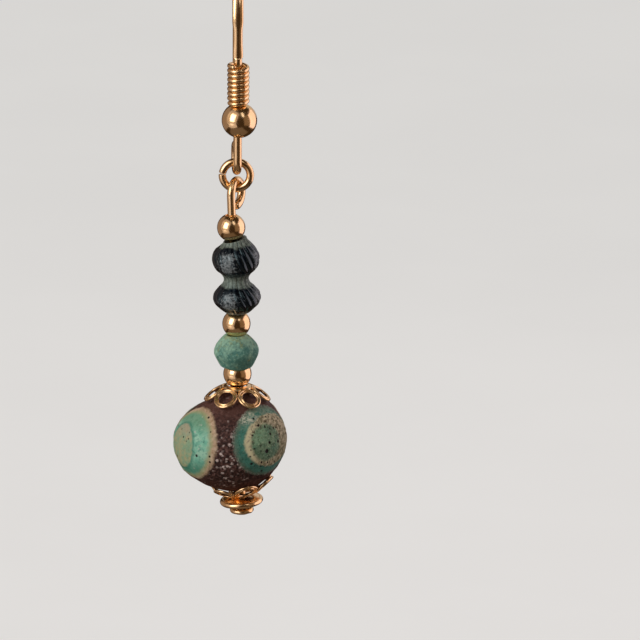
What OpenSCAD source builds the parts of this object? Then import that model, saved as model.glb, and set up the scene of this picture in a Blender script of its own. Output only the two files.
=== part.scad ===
// A beaded drop earring on a fish-hook ear wire.
// The origin is the underside of the hook's crown, where it rests in the ear. +X is to the
// right of a viewer in front, -Y is the front and +Z is up. A cut ring hangs on the hook's foot
// loop, and a head pin with six beads, two pierced caps and a spacer hangs on the ring.

/* [Hook] */
// Diameter of the round hook wire
wire_d = 0.72; // [0.6:0.01:0.8]
// Width of the flattened crown
crown_w = 0.94; // [0.88:0.01:1]
// Thickness of the flattened crown
crown_t = 0.52; // [0.48:0.01:0.54]
// Width of the flattened part of the front leg
leg_w = 0.84; // [0.78:0.01:0.86]
// Thickness of the flattened part of the front leg
leg_t = 0.58; // [0.56:0.01:0.62]
// Inner radius of the crown
crown_r = 3.92; // [3.5:0.1:5]
// Lean of the front leg, its foot towards the back
front_lean = 4; // [0:0.5:8]
// Sideways tilt of the whole hook as it hangs
hook_tilt = 0.7; // [0:0.1:2]
// Length of the flattened part of the front leg
strip_len = 2.6; // [1:0.1:3]
// Distance from the end of the crown to the middle of the foot loop
front_len = 11.85; // [11:0.05:13]
// Radius of the foot loop, to the middle of its wire
foot_r = 1.13; // [1:0.01:1.4]
// Turn of the foot loop about the front leg
foot_turn = 4.3; // [-10:0.1:10]
// Straight length of the tail behind the ear
tail_len = 5.6; // [4:0.1:8]
// Outward slope of the tail
tail_flare = 6; // [0:1:12]
// Radius of the kick at the end of the tail
kick_r = 5; // [3:0.5:10]
// Angle of that kick
kick_angle = 16; // [5:1:30]

/* [Coil and ball] */
// Diameter of the coil's wire
coil_wire = 0.39; // [0.3:0.005:0.39]
// Radius of the coil, to the middle of its wire
coil_r = 0.75; // [0.7:0.01:0.8]
// Rise of the coil in one turn
coil_pitch = 0.41; // [0.4:0.005:0.45]
// Number of turns
coil_turns = 8.2; // [5:0.1:8.5]
// Diameter of the ball
ball_d = 3; // [2.5:0.1:3.2]
// Distance from the end of the crown to the middle of the ball
ball_at = 8.16; // [7.5:0.01:8.5]
// Sideways play of the ball on the wire
ball_shift = 0.15; // [0:0.01:0.17]

/* [Ring] */
// Diameter of the ring's wire
ring_wire = 0.64; // [0.5:0.01:0.7]
// Radius of the ring, to the middle of its wire
ring_r = 1.18; // [1.15:0.01:1.5]
// Angle that the cut in the ring spans
ring_cut = 6; // [2:1:12]
// Direction of that cut, 180 facing straight left
ring_cut_at = 174; // [150:1:210]

/* [Pin] */
// Diameter of the pin's wire
pin_wire = 0.7; // [0.6:0.01:0.75]
// Radius of the pin's loop, to the middle of its wire
pin_r = 1.1; // [1.05:0.01:1.3]
// Turn of the pin's loop about the stem, 0 facing the side
pin_turn = 24; // [15:1:24]
// Sideways lean of the stem as it hangs
pin_lean_x = 2.69; // [0:0.01:5]
// Backward lean of the stem as it hangs
pin_lean_y = 1.95; // [0:0.01:5]
// Length of the stem below the pin's seat
stem_len = 28.08; // [28:0.01:28.4]
// Diameter of the pin's head
head_d = 2.06; // [1.6:0.02:2.4]
// Thickness of the pin's head
head_t = 0.42; // [0.3:0.02:0.6]

/* [Small beads] */
// Diameter of the gold beads
gold_d = 2.4; // [2.2:0.05:2.6]
// Depth of the top gold bead's middle below the pin's seat
gold_top_at = 3.11; // [3.1:0.01:3.2]
// Depth of the second gold bead's middle
gold_middle_at = 11.65; // [11.5:0.01:11.8]
// Depth of the third gold bead's middle
gold_lower_at = 16.11; // [16:0.01:16.2]
// Number of ribs on the melon bead
ribs = 18; // [12:1:24]
// Depth of its grooves
rib_depth = 0.13; // [0:0.01:0.2]
// Twist of the ribs over the length of one lobe
rib_twist = 34; // [0:1:60]
// Sideways play of the melon bead on the pin
melon_shift = 0.21; // [0:0.01:0.25]
// Slope of the turquoise bead's worn foot
turquoise_slope = 7; // [0:1:10]

/* [Eye bead] */
// Height of the eye bead's middle below the pin's seat
eye_at = 22.11; // [22:0.01:22.2]
// Sideways distance of the bead's middle from its bore
bore_off_x = 0.8; // [0.6:0.01:0.9]
// Distance of the bead's middle behind its bore
bore_off_y = 0.55; // [0.4:0.01:0.7]
// Scale of the bead's girth
girth = 1; // [0.95:0.01:1.02]

/* [Caps and spacer] */
// Distance of a petal's hole from the middle of its cap
petal_at = 1.92; // [1.91:0.01:1.93]
// Radius of a petal
petal_r = 1.02; // [1.01:0.01:1.03]
// Radius of the hole in a petal
petal_hole_r = 0.63; // [0.62:0.01:0.64]
// Slope of the upper cap's petals
slope_top = 36; // [35:0.5:36]
// Slope of the lower cap's petals, to which each one adds its own bend
slope_bottom = 28; // [27:0.5:28]
// Radius of the hub
hub_r = 1.22; // [1.2:0.01:1.24]
// Radius of the hub's hole, in which a round bead seats
hub_bore_r = 0.8; // [0.78:0.01:0.82]
// Slope of the hub
hub_slope = 20; // [18:1:22]
// Thickness of a cap's plate
cap_t = 0.18; // [0.17:0.01:0.18]
// Depth of the lower cap's hub below the middle of the eye bead
cap_bottom_at = 4.7; // [4.7:0.01:4.73]
// Diameter of the spacer
saucer_d = 3.7; // [3:0.1:4]
// Height of the spacer at its middle
saucer_t = 0.8; // [0.6:0.05:0.8]
// Radius of the spacer's rounded rim
saucer_rim = 0.24; // [0.2:0.01:0.3]
// Depth of the spacer's middle below the middle of the eye bead
saucer_at = 5.35; // [5.33:0.01:5.4]

/* [Hidden] */
$fn = 64;

// Clear gap where two hard pieces bear on each other
seat_gap = 0.04;
// Radial play of a bead on the pin
bore_play = 0.1;
// How far one length of wire runs into the next
lap = 0.3;
// Straight pieces in one turn of the coil, and flat sides of its wire
coil_steps = 14;
coil_sides = 6;
// Angle that a wire loop spans before its end closes on the stem
loop_span = 288;

gold = [0.85, 0.62, 0.35];
dark_glass = [0.12, 0.15, 0.19];
turquoise = [0.4, 0.62, 0.53];
eye_glass = [0.32, 0.23, 0.2];

crown_mid = crown_r + crown_t / 2;

// A point after the front leg's lean and the hook's sideways tilt
function leaned(p) = [p.x, p.y * cos(front_lean) - p.z * sin(front_lean),
                      p.y * sin(front_lean) + p.z * cos(front_lean)];
function tilted(p) = [p.x * cos(hook_tilt) - p.z * sin(hook_tilt), p.y,
                      p.x * sin(hook_tilt) + p.z * cos(hook_tilt)];
crown_end = [0, -crown_mid * cos(front_lean), -crown_r - crown_mid * sin(front_lean)];
foot_low = [-foot_r * sin(foot_turn), foot_r * cos(foot_turn), -front_len - foot_r];

// Middle of the hook's wire at the bottom of its foot loop, where the ring hangs
ring_hang = tilted(crown_end + leaned(foot_low));
ring_mid = ring_hang + [0, 0, (wire_d + ring_wire) / 2 + seat_gap - ring_r];
// Middle of the ring's wire at its bottom, where the pin hangs
pin_hang = ring_mid - [0, 0, ring_r];
// The pin's loop stands this far above it, to the middle of its wire
pin_seat = (ring_wire + pin_wire) / 2 + seat_gap;
stem = [-pin_r * sin(pin_turn), -pin_r * cos(pin_turn)];

// Sideways play of the gold beads on the pin, from the top down
gold_shifts = [-0.08, 0.08, 0.02];
// Melon bead: depth from its top, radius and share of the ribs' depth
melon_rows = [[0, 0.98, 0.5], [0.25, 1.1, 0.7], [0.6, 1.46, 0.9], [1.05, 1.86, 1],
              [1.6, 2.02, 1], [2.15, 1.96, 1], [2.6, 1.72, 0.9], [3, 1.3, 0.7],
              [3.45, 1.06, 0.5], [3.9, 1.2, 0.6], [4.3, 1.6, 0.9], [4.75, 1.95, 1],
              [5.2, 2.03, 1], [5.65, 1.87, 1], [6.1, 1.45, 0.9], [6.46, 1.02, 0.5]];
// Depth of its upper end below the middle of the gold bead above it
melon_seat = 1.04;
melon_top = gold_top_at + melon_seat;
melon_len = melon_rows[len(melon_rows) - 1][0];
// Slope of the melon bead's upper end
melon_slope = 0.2;
// Turquoise bead: depth from its top and radius
turquoise_rows = [[0, 0.85], [0.12, 1.04], [0.5, 1.42], [0.95, 1.76], [1.3, 1.9], [1.55, 1.92],
                  [1.85, 1.84], [2.3, 1.62], [2.65, 1.44], [2.85, 1.3]];
// Depth of its upper end below the middle of the gold bead above it
turquoise_seat = 0.94;
turquoise_top = gold_middle_at + turquoise_seat;
turquoise_len = turquoise_rows[len(turquoise_rows) - 1][0];
// Eye bead: height from its middle, radius and share of the bore's offset
eye_rows = [[4.42, 0.3, 0.05], [4.36, 0.85, 0.06], [4.2, 1.35, 0.07], [3.98, 1.8, 0.08],
            [3.73, 2.2, 0.1], [3.44, 2.62, 0.17], [3.1, 3.08, 0.35], [2.66, 3.59, 0.52],
            [2.17, 4.05, 0.72], [1.5, 4.46, 0.86], [0.8, 4.75, 0.96], [0, 4.86, 1],
            [-0.8, 4.8, 1.03], [-1.45, 4.62, 1.03], [-2.1, 4.3, 1.02], [-2.6, 3.93, 1],
            [-3.07, 3.46, 0.95], [-3.5, 2.86, 0.84], [-3.85, 2.2, 0.64], [-4.1, 1.6, 0.42],
            [-4.25, 1.05, 0.3], [-4.32, 0.4, 0.2]];

// How much further each petal of the lower cap is bent onto the bead, which stands off its bore
petal_bends = [3, 7, 12, 8, 5, 4];
petals = len(petal_bends);

module from_seat() {
    translate(pin_hang) rotate([pin_lean_y, -pin_lean_x, 0]) children();
}

// Places a piece on the stem, at a depth below the pin's seat
module on_stem(depth, shift = 0) {
    from_seat() translate([stem.x + shift, stem.y, -depth]) children();
}

module hook_frame() {
    rotate([0, -hook_tilt, 0]) children();
}

// The front leg's own frame, which runs down along -Z from the end of the crown
module front_leg() {
    hook_frame() translate(crown_end) rotate([front_lean, 0, 0]) children();
}

// An arc in the YZ plane of the section given, from angle a0 upwards
module side_arc(radius, a0, span) {
    rotate([90, 0, 90]) rotate_extrude(angle = span, start = a0) translate([radius, 0]) children();
}

// The section of a flattened wire, its thickness along X
module strip_section(width, thick) {
    square([thick, width - thick], center = true);
    for (side = [-1, 1]) translate([0, side * (width - thick) / 2]) circle(d = thick);
}

module ear_hook() color(gold) {
    tail = [0, crown_mid * cos(tail_flare), -crown_r + crown_mid * sin(tail_flare)];
    hook_frame() translate([0, 0, -crown_r])
        side_arc(crown_mid, tail_flare, 180 + front_lean - tail_flare)
        strip_section(crown_w, crown_t);
    front_leg() {
        translate([0, 0, -strip_len]) linear_extrude(strip_len + lap) rotate(90)
            strip_section(leg_w, leg_t);
        translate([0, 0, -front_len]) cylinder(d = wire_d, h = front_len - strip_len + lap);
        translate([0, 0, -front_len]) rotate([0, 0, foot_turn]) translate([0, foot_r, 0])
            side_arc(foot_r, 180, loop_span) circle(d = wire_d);
    }
    hook_frame() translate(tail) rotate([tail_flare, 0, 0]) {
        translate([0, 0, -tail_len]) cylinder(d = wire_d, h = tail_len + lap);
        translate([0, kick_r, -tail_len]) side_arc(kick_r, 180, kick_angle) circle(d = wire_d);
    }
}

// A wire of a few flat sides, wound about Z from the height 0 upwards
module wound_wire(radius, thick, pitch, turns, steps, sides) {
    last = ceil(turns * steps);
    points = [for (i = [0 : last], k = [0 : sides - 1])
        let (a = 360 * turns * i / last, b = 360 * (k + 0.5) / sides,
             r = radius + thick / 2 * cos(b))
        [r * cos(a), r * sin(a), pitch * turns * i / last + thick / 2 * sin(b)]];
    walls = [for (i = [0 : last - 1], k = [0 : sides - 1])
        let (p = i * sides + k, q = i * sides + (k + 1) % sides) [p, q, q + sides, p + sides]];
    ends = [[for (k = [sides - 1 : -1 : 0]) k], [for (k = [0 : sides - 1]) last * sides + k]];
    polyhedron(points, concat(walls, ends));
}

module hook_coil() color(gold) {
    reach = (ball_d + coil_wire) / 2 + seat_gap;
    foot = ball_at - sqrt(reach * reach - coil_r * coil_r);
    front_leg() translate([ball_shift / 3, 0, -foot]) rotate(180)
        wound_wire(coil_r, coil_wire, coil_pitch, coil_turns, coil_steps, coil_sides);
}

module hook_ball() color(gold) front_leg() translate([0, 0, -ball_at]) difference() {
    translate([ball_shift, 0, 0]) sphere(d = ball_d);
    translate([ball_shift, 0, -ball_d])
        cylinder(r = wire_d / 2 + ball_shift + seat_gap / 2, h = 2 * ball_d);
}

module jump_ring() color(gold) translate(ring_mid) rotate([90, 0, 0])
    rotate_extrude(angle = 360 - ring_cut, start = ring_cut_at + ring_cut / 2)
    translate([ring_r, 0]) circle(d = ring_wire);

module head_pin() color(gold) {
    loop_at = pin_r - pin_seat;
    on_stem(stem_len) cylinder(d = pin_wire, h = stem_len - loop_at);
    on_stem(loop_at) rotate([0, 0, -pin_turn]) translate([0, pin_r, 0])
        side_arc(pin_r, 180 - loop_span, loop_span) circle(d = pin_wire);
    on_stem(stem_len + head_t / 2) rotate_extrude() {
        translate([0, -head_t / 2]) square([(head_d - head_t) / 2, head_t]);
        translate([(head_d - head_t) / 2, 0]) intersection() {
            circle(d = head_t);
            translate([0, -head_t]) square(2 * head_t);
        }
    }
}

module gold_bead(depth, shift) on_stem(depth) difference() {
    translate([shift, 0, 0]) sphere(d = gold_d);
    translate([0, 0, -gold_d]) cylinder(r = pin_wire / 2 + bore_play, h = 2 * gold_d);
}

module gold_bead_top() color(gold) gold_bead(gold_top_at, gold_shifts[0]);
module gold_bead_middle() color(gold) gold_bead(gold_middle_at, gold_shifts[1]);
module gold_bead_lower() color(gold) gold_bead(gold_lower_at, gold_shifts[2]);

// The hollow that a gold bead wears into its softer neighbour
module gold_seat(depth, shift) {
    on_stem(depth) translate([shift, 0, 0]) sphere(r = gold_d / 2 + seat_gap);
}

// A hole along the stem, long enough for any bead
module through_bore(radius) {
    on_stem(stem_len) cylinder(r = radius, h = stem_len);
}

// A closed solid from rings of points, the first ring on top
module ringed(rings) {
    n = len(rings[0]);
    last = len(rings) - 1;
    walls = [for (i = [0 : last - 1], k = [0 : n - 1])
        let (p = i * n + k, q = i * n + (k + 1) % n) each [[p, q, q + n], [p, q + n, p + n]]];
    ends = [[for (k = [n - 1 : -1 : 0]) k], [for (k = [0 : n - 1]) last * n + k]];
    polyhedron([for (ring = rings) each ring], concat(walls, ends));
}

// The value of a table's column c at the place s along its rows, on a smooth curve
function row(rows, i) = rows[max(0, min(len(rows) - 1, i))];
function eased(rows, s, c) =
    let (i = floor(s), t = s - i, a = row(rows, i - 1)[c], b = row(rows, i)[c],
         d = row(rows, i + 1)[c], e = row(rows, i + 2)[c])
    b + t * ((d - a) / 2 + t * ((2 * a - 5 * b + 4 * d - e) / 2
    + t * (3 * b - a - 3 * d + e) / 2));

module melon_bead() color(dark_glass) {
    steps = 72;
    cuts = 2;
    rings = [for (i = [0 : cuts * (len(melon_rows) - 1)])
        let (s = i / cuts, z = eased(melon_rows, s, 0), r = eased(melon_rows, s, 1),
             depth = rib_depth * eased(melon_rows, s, 2), slope = melon_slope * max(0, 1 - z))
        [for (k = [0 : steps - 1])
            let (a = 360 * k / steps, turn = rib_twist * 2 * z / melon_len,
                 w = r - depth * (1 - abs(sin((a - turn) * ribs / 2))))
            [w * cos(a), w * sin(a), -z + slope * w * cos(a)]]];
    difference() {
        on_stem(melon_top, melon_shift) ringed(rings);
        through_bore(pin_wire / 2 + bore_play + melon_shift);
        gold_seat(gold_top_at, gold_shifts[0]);
        gold_seat(gold_middle_at, gold_shifts[1]);
    }
}

module turquoise_bead() color(turquoise) {
    cuts = 2;
    side = [for (i = [0 : cuts * (len(turquoise_rows) - 1)])
        [eased(turquoise_rows, i / cuts, 1), -eased(turquoise_rows, i / cuts, 0)]];
    difference() {
        on_stem(turquoise_top) rotate_extrude() polygon(concat(side, [[0, -turquoise_len], [0, 0]]));
        on_stem(turquoise_top + turquoise_len + 1) rotate([0, turquoise_slope, 0])
            cylinder(r = turquoise_len, h = 1);
        through_bore(pin_wire / 2 + bore_play);
        gold_seat(gold_middle_at, gold_shifts[1]);
        gold_seat(gold_lower_at, gold_shifts[2]);
    }
}

module eye_bead() color(eye_glass) {
    steps = 56;
    rings = [for (line = eye_rows) [for (k = [0 : steps - 1])
        let (a = 360 * k / steps, r = line[1] * girth)
        [line[2] * -bore_off_x + r * cos(a), line[2] * bore_off_y + r * sin(a), line[0]]]];
    difference() {
        on_stem(eye_at) ringed(rings);
        through_bore(pin_wire / 2 + 2 * bore_play);
    }
}

// One petal: a pierced round plate with a raised rim round its hole and another round its edge
module petal() rotate_extrude() {
    rim = 0.11;
    translate([petal_hole_r, 0]) square([petal_r - petal_hole_r - rim, cap_t]);
    translate([petal_hole_r + rim, cap_t]) circle(rim);
    translate([petal_r - rim, cap_t / 2]) circle(rim);
}

// A cap, its hub's underside at the origin and its petals falling away below, each at its slope
module cap(slopes) {
    hub_drop = (hub_r - hub_bore_r) * tan(hub_slope);
    rotate_extrude() {
        polygon([[hub_bore_r, 0], [hub_r, -hub_drop], [hub_r, cap_t - hub_drop],
                 [hub_bore_r, cap_t]]);
        translate([hub_bore_r + cap_t / 2, cap_t / 2]) circle(d = cap_t);
    }
    for (k = [0 : petals - 1]) {
        drop = hub_drop + (petal_at - hub_r) * tan(slopes[k]);
        rotate(k * 360 / petals) translate([petal_at, 0, -drop]) rotate([0, slopes[k], 0]) petal();
    }
}

// The upper cap bears on the lower gold bead, leaning round its middle
module cap_top() color(gold) {
    lean = [-1, 2.2, 0];
    reach = gold_d / 2 + 1.5 * seat_gap;
    seat = sqrt(reach * reach - hub_bore_r * hub_bore_r) + cap_t;
    on_stem(gold_lower_at, gold_shifts[2]) rotate(lean) translate([0, 0, -seat])
        cap([for (bend = petal_bends) slope_top]);
}

// The lower cap is the same cap, turned over and sitting askew
module cap_bottom() color(gold) {
    lean = [-5, -12, 0];
    turn = 38;
    shift = 0.3;
    on_stem(eye_at + cap_bottom_at, shift) rotate(lean) rotate(turn) mirror([0, 0, 1])
        cap([for (bend = petal_bends) slope_bottom + bend]);
}

module saucer_spacer() color(gold) {
    lean = -3;
    half = saucer_t / 2;
    flat_r = saucer_d / 2 - saucer_rim;
    on_stem(eye_at + saucer_at) rotate([0, lean, 0]) difference() {
        rotate_extrude() {
            polygon([[0, -half], [flat_r, -saucer_rim], [flat_r, saucer_rim], [0, half]]);
            translate([flat_r, 0]) circle(saucer_rim);
        }
        translate([0, 0, -saucer_t]) cylinder(r = pin_wire / 2 + bore_play, h = 2 * saucer_t);
    }
}

ear_hook();
hook_coil();
hook_ball();
jump_ring();
head_pin();
gold_bead_top();
melon_bead();
gold_bead_middle();
turquoise_bead();
gold_bead_lower();
cap_top();
eye_bead();
cap_bottom();
saucer_spacer();
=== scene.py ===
"""A beaded drop earring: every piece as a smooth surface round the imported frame.

Lengths in this file are millimetres, in the frame's own axes: +X to the viewer's right, -Y to
the front and +Z up, with the origin under the crown of the hook. They become metres only when
a mesh is made.
"""

import math

import bpy
import mathutils
import numpy as np
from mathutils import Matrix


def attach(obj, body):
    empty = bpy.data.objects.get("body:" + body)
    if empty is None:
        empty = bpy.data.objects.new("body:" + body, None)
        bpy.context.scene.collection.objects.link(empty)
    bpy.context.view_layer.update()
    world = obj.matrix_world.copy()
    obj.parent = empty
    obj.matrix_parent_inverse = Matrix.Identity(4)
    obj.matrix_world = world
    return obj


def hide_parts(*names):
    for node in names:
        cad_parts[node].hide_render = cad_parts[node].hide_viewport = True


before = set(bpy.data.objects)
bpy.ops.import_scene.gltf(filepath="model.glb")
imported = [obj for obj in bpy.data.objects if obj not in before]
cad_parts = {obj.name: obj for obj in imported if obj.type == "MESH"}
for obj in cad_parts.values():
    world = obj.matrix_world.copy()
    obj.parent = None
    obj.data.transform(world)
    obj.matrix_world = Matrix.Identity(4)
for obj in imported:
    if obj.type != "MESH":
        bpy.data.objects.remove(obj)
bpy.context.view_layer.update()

bl_info = {
    "name": "Beaded drop earring",
    "version": (1, 0, 0),
    "blender": (4, 5, 0),
    "location": "3D View > Sidebar > Earring",
    "description": "Makes the pieces of a beaded drop earring and a small stage for it",
    "category": "Add Mesh",
}

# Metres in a millimetre
MM = 0.001

# The hook: where its wire runs, in the plane that it is bent in
WIRE_D = 0.72
CROWN_R = 3.92
CROWN_T = 0.52
CROWN_MID = CROWN_R + CROWN_T / 2
FRONT_LEAN = 4.0
HOOK_TILT = 0.7
FRONT_LEN = 11.85
FOOT_R = 1.13
FOOT_TURN = 4.3
TAIL_LEN = 5.6
TAIL_FLARE = 6.0
KICK_R = 5.0
KICK_ANGLE = 16.0
LOOP_SPAN = 288.0
# How much less than half its thickness a wire is rounded at its end
END_FLAT = 0.01
BALL_D = 3.0
BALL_AT = 8.16
BALL_SHIFT = 0.15
SEAM_W = 0.03
SEAM_DEPTH = 0.004
COIL_R = 0.75
COIL_WIRE = 0.39
COIL_PITCH = 0.41
COIL_TURNS = 8.2

# The ring and the pin
RING_WIRE = 0.64
RING_R = 1.18
RING_CUT = 6.0
RING_CUT_AT = 174.0
RING_END = 0.05
PIN_WIRE = 0.7
PIN_R = 1.1
PIN_TURN = 24.0
PIN_LEAN_X = 2.69
PIN_LEAN_Y = 1.95
STEM_LEN = 28.08
HEAD_D = 2.06
HEAD_T = 0.42
HEAD_FILLET = 0.06
HEAD_WEAR = 0.03
SEAT_GAP = 0.04
BORE_PLAY = 0.1
BORE_R = PIN_WIRE / 2 + BORE_PLAY

# The beads, by their depth below the pin's seat
GOLD_D = 2.4
GOLD_AT = (3.11, 11.65, 16.11)
GOLD_SHIFTS = (-0.08, 0.08, 0.02)
MELON_TOP = GOLD_AT[0] + 1.04
MELON_SHIFT = 0.21
MELON_SLOPE = 0.2
MELON_FACE_R = 0.78
TURQUOISE_TOP = GOLD_AT[1] + 0.94
TURQUOISE_R = 1.9
TURQUOISE_SLOPE = 7.0
FOOT_WORN = 0.0075
EYE_AT = 22.11
EYE_R = 4.8
EYE_INSET = 0.065
BORE_OFF = (0.8, 0.55)

# The caps and the spacer
PETAL_AT = 1.92
PETAL_R = 1.02
PETAL_HOLE_R = 0.63
SLOPE_TOP = 36.0
SLOPE_BOTTOM = 28.0
PETAL_BENDS = (3, 7, 12, 8, 5, 4)
HUB_R = 1.22
HUB_BORE_R = 0.8
HUB_SLOPE = 20.0
CAP_T = 0.18
CAP_BOTTOM_AT = 4.7
CAP_BOTTOM_SHIFT = 0.3
SAUCER_D = 3.7
SAUCER_T = 0.8
SAUCER_RIM = 0.24
SAUCER_AT = 5.35
SAUCER_TILT = -3.0

# Melon bead: depth from its top, radius and share of the ribs' depth
MELON_ROWS = np.array([
    (0, 0.98, 0.5), (0.25, 1.1, 0.7), (0.6, 1.46, 0.9), (1.05, 1.86, 1), (1.6, 2.02, 1),
    (2.15, 1.96, 1), (2.6, 1.72, 0.9), (3, 1.3, 0.7), (3.45, 1.06, 0.5), (3.9, 1.2, 0.6),
    (4.3, 1.6, 0.9), (4.75, 1.95, 1), (5.2, 2.03, 1), (5.65, 1.87, 1), (6.1, 1.45, 0.9),
    (6.46, 1.02, 0.5)])
# Where the melon bead's ribs are rubbed, from +X towards +Y, how wide, and how much lower
RUBBED_AT, RUBBED_W, RUBBED_OFF = 222.0, 48.0, 0.62
# Where the lobes carry scuff marks and a pale painted sheen, a painted highlight: azimuth, width
# in degrees, and how much
SCUFF_SHEEN_SPOTS = ((247, 25, 1.0), (336, 17, 1.0), (100, 30, 0.7))
# Turquoise bead: depth from its top and radius
TURQUOISE_ROWS = np.array([
    (0, 0.85), (0.12, 1.04), (0.5, 1.42), (0.95, 1.76), (1.3, 1.9), (1.55, 1.92), (1.85, 1.84),
    (2.3, 1.62), (2.65, 1.44), (2.85, 1.3)])
# Eye bead: height from its middle, radius and share of the bore's offset
EYE_ROWS = np.array([
    (4.42, 0.3, 0.05), (4.36, 0.85, 0.06), (4.2, 1.35, 0.07), (3.98, 1.8, 0.08),
    (3.73, 2.2, 0.1), (3.44, 2.62, 0.17), (3.1, 3.08, 0.35), (2.66, 3.59, 0.52),
    (2.17, 4.05, 0.72), (1.5, 4.46, 0.86), (0.8, 4.75, 0.96), (0, 4.86, 1), (-0.8, 4.8, 1.03),
    (-1.45, 4.62, 1.03), (-2.1, 4.3, 1.02), (-2.6, 3.93, 1), (-3.07, 3.46, 0.95),
    (-3.5, 2.86, 0.84), (-3.85, 2.2, 0.64), (-4.1, 1.6, 0.42), (-4.25, 1.05, 0.3),
    (-4.32, 0.4, 0.2)])

# The photograph's view: yaw, tilt down and roll of the camera in degrees, the point that it
# looks at, its distance from there and the width of the view at that distance
CAMERA_TURNS = (1.15, 15.5, 0.94)
LOOK_AT = (7.41, -2.2, -30.167)
CAMERA_AWAY = 1000.0
VIEW_WIDTH = 640 / 11.77
SENSOR_W = 36.0
# The floor's height, and half its width in metres
FLOOR_AT = -130.0
FLOOR_HALF = 4.0

# Lights: name, strength, azimuth and elevation of the way to it, angles that it spans across
# and up, distance, radiance and colour
STAGE_MIDDLE = (0.0, -2.0, -30.0)
PANELS = (
    ("key_core", "key", -50, 25, 32, 44, 330, 3.0, (1.0, 0.91, 0.92)),
    ("key_frame", "key", -54, 25, 74, 84, 340, 0.42, (1.0, 0.85, 0.84)),
    ("key_low", "key", -48, -24, 56, 22, 300, 0.55, (1.0, 0.86, 0.88)),
    ("left_wing", "fill", -117, 4, 66, 80, 330, 0.24, (1.0, 0.78, 0.72)),
    ("right_panel", "side", 104, 4, 62, 72, 330, 1.2, (1.0, 0.79, 0.87)),
    ("right_fill", "side", 58, 10, 56, 60, 330, 0.16, (1.0, 0.68, 0.48)),
    ("top_strip", "side", 29, 50, 14, 26, 330, 1.2, (1.0, 0.91, 0.92)),
    ("back_panel", "fill", 160, 20, 44, 50, 330, 0.5, (1.0, 0.91, 0.91)),
    ("key_foot", "key", -51, -14, 22, 12, 330, 0.55, (0.95, 0.92, 1.0)),
    ("bounce_card", "fill", -20, -72, 84, 84, 88, 0.10, (1.0, 0.80, 0.70)),
)
ROOM_TINT = (1.0, 0.58, 0.28)
ROOM_LIGHT = 0.04


# Frames

X, Y, Z = 0, 1, 2


def turn(axis, degrees):
    """The matrix of a right-handed turn about X, Y or Z."""
    c, s = math.cos(math.radians(degrees)), math.sin(math.radians(degrees))
    i, j = (axis + 1) % 3, (axis + 2) % 3
    matrix = np.eye(3)
    matrix[i, i] = matrix[j, j] = c
    matrix[i, j], matrix[j, i] = -s, s
    return matrix


def placed(points, matrix, at=(0, 0, 0)):
    """Points turned, then moved."""
    return points @ matrix.T + at


HOOK_TURN = turn(Y, -HOOK_TILT)
LEG_TURN = HOOK_TURN @ turn(X, FRONT_LEAN)
CROWN_END = HOOK_TURN @ (turn(X, FRONT_LEAN) @ (0, -CROWN_MID, 0) - (0, 0, CROWN_R))
FOOT_LOW = turn(Z, FOOT_TURN) @ (0, FOOT_R, 0) - (0, 0, FRONT_LEN + FOOT_R)
RING_MID = CROWN_END + LEG_TURN @ FOOT_LOW + (0, 0, (WIRE_D + RING_WIRE) / 2 + SEAT_GAP - RING_R)
PIN_HANG = RING_MID - (0, 0, RING_R)
PIN_SEAT = (RING_WIRE + PIN_WIRE) / 2 + SEAT_GAP
STEM_AT = turn(Z, -PIN_TURN) @ (0, -PIN_R, 0)
STEM_TURN = turn(Y, -PIN_LEAN_X) @ turn(X, PIN_LEAN_Y)
CAP_TOP_TURN = turn(Y, 2.2) @ turn(X, -1)
CAP_BOTTOM_TURN = turn(Y, -12) @ turn(X, -5) @ turn(Z, 38)


def on_leg(points):
    """Points of the front leg's own frame, which runs down along -Z from the crown's end."""
    return placed(points, LEG_TURN, CROWN_END)


def on_stem(points, depth, shift=0.0):
    """Points round the stem's axis, at a depth below the pin's seat."""
    return placed(points + STEM_AT + (shift, 0, -depth), STEM_TURN, PIN_HANG)


# Surfaces

def sheet(grid, along):
    """Points and faces of a grid of points, its rows along and its columns around.

    Each square of the grid is one face. Rows that don't close on each other end in a fan to
    their middle. Faces are turned outwards by the sign of the enclosed volume, the sum over
    all triangles of a . (b x c) / 6.
    """
    rows, cols = grid.shape[:2]
    points = grid.reshape(-1, 3)
    i, j = np.indices((rows if along else rows - 1, cols)).reshape(2, -1)
    ii, jj = (i + 1) % rows, (j + 1) % cols
    squares = np.stack([i * cols + j, ii * cols + j, ii * cols + jj, i * cols + jj], 1)
    fans = np.zeros((0, 3), int)
    if not along:
        k = np.arange(cols)
        q = (k + 1) % cols
        last = (rows - 1) * cols
        points = np.vstack([points, grid[:1].mean(1), grid[-1:].mean(1)])
        fans = np.vstack([np.stack([k, q, np.full(cols, rows * cols)], 1),
                          np.stack([last + q, last + k, np.full(cols, rows * cols + 1)], 1)])
    triangles = np.vstack([squares[:, :3], squares[:, [0, 2, 3]], fans])
    a, b, c = (points[triangles[:, k]] for k in range(3))
    if np.einsum("ij,ij->", a, np.cross(b, c)) < 0:
        squares, fans = squares[:, ::-1], fans[:, ::-1]
    return points, squares, fans


def linked(name, data):
    """A new object in the scene."""
    made = bpy.data.objects.new(name, data)
    bpy.context.scene.collection.objects.link(made)
    return made


def piece(name, grids, body, node, material, along=True, marks=None):
    """One object made of closed grids, riding on a body in place of a CAD node."""
    points, faces = np.zeros((0, 3)), []
    for grid in grids:
        part_points, squares, fans = sheet(grid, along)
        faces += (squares + len(points)).tolist() + (fans + len(points)).tolist()
        points = np.vstack([points, part_points])
    mesh = bpy.data.meshes.new(name)
    mesh.from_pydata(points * MM, [], faces)
    mesh.shade_smooth()
    for mark, values in (marks or {}).items():
        stored = mesh.attributes.new(mark, "FLOAT", "POINT")
        stored.data.foreach_set("value", values.astype(np.float32).ravel())
    if mesh.validate():
        raise RuntimeError(f"{name} has faulty faces")
    mesh.materials.append(material)
    made = linked(name, mesh)
    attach(made, body)
    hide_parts(node)


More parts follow.
